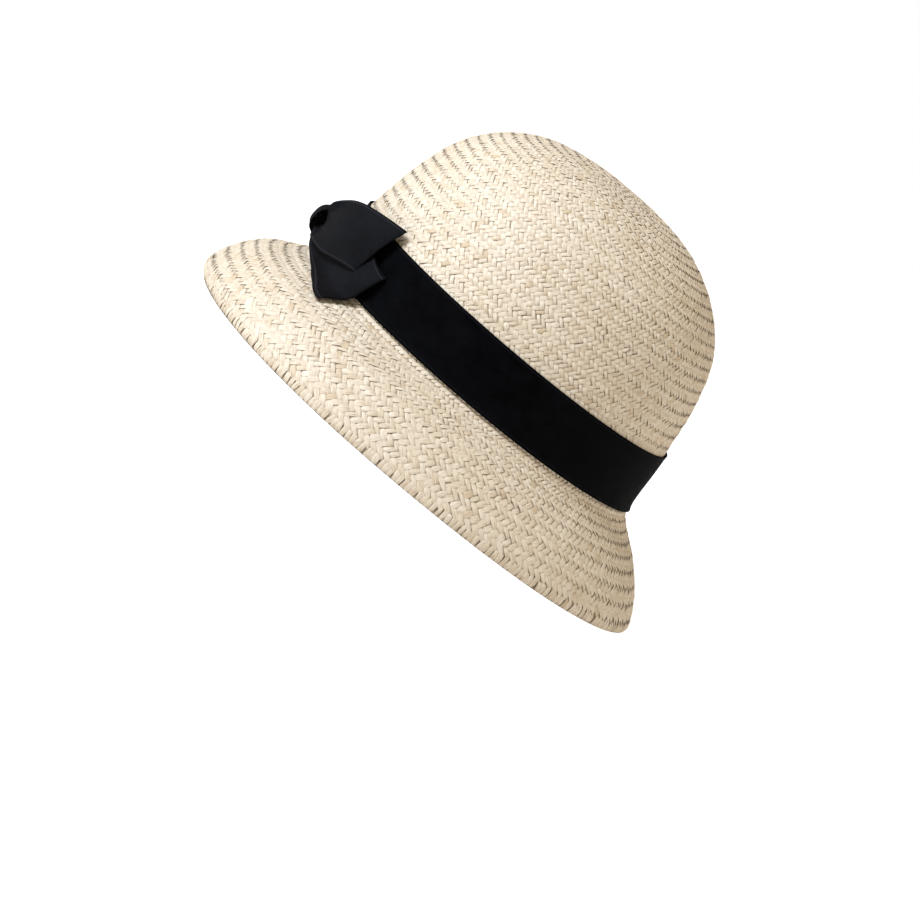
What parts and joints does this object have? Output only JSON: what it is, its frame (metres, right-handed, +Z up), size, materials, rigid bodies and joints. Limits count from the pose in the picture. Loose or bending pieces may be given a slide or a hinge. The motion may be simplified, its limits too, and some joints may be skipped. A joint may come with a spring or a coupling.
{
  "type": "cloche hat",
  "caption": "Woven straw cloche hat with a deep round crown, a downturned brim, a black ribbon band and a folded ribbon bow.",
  "frame": {"origin": "middle of the brim edge, in the plane that the edge rests on", "axes": "+Z up through the crown, -Y towards the front of the hat, +X towards the wearer's left"},
  "size_m": [0.2442, 0.2816, 0.168],
  "materials": {
    "straw": "hand woven natural palm straw, matt with a faint sheen on each strand",
    "ribbon": "fine ribbed black ribbon with plain woven edges, dull sheen"
  },
  "bodies": {
    "root": {"straw_body": "straw", "hat_band": "ribbon", "bow_upper_loop": "ribbon", "bow_lower_loop": "ribbon", "bow_right_loop": "ribbon", "bow_knot": "ribbon"}
  },
  "joints": []
}
